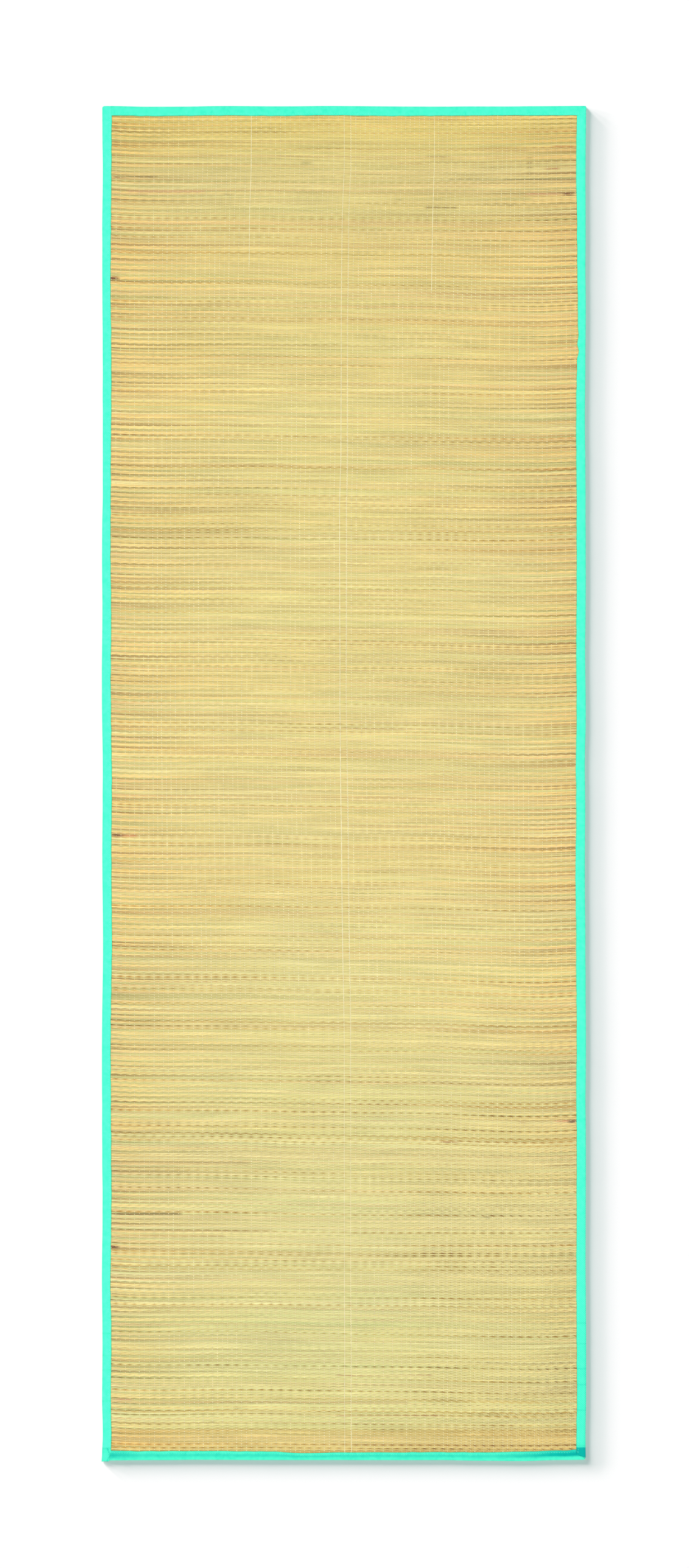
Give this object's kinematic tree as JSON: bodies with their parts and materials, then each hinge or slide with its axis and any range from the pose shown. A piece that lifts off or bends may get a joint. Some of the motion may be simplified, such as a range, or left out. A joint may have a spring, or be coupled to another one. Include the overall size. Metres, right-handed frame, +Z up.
{
  "type": "straw beach mat",
  "caption": "Flat rectangular straw beach mat, plain-woven crosswise straw on thin lengthwise warp threads, its four edges bound in folded cloth tape",
  "frame": {"origin": "middle of the mat's footprint, on the surface that it lies on", "axes": "X across the mat, Y along its length, Z up out of its upper face"},
  "size_m": [0.6022, 1.6845, 0.0042],
  "materials": {
    "woven_straw": "dry split straw, plain-woven, satin",
    "binding_cloth": "matt turquoise cotton tape"
  },
  "bodies": {
    "root": {"straw_panel": "woven_straw", "binding_left": "binding_cloth", "binding_right": "binding_cloth", "binding_top": "binding_cloth", "binding_bottom": "binding_cloth"}
  },
  "joints": []
}
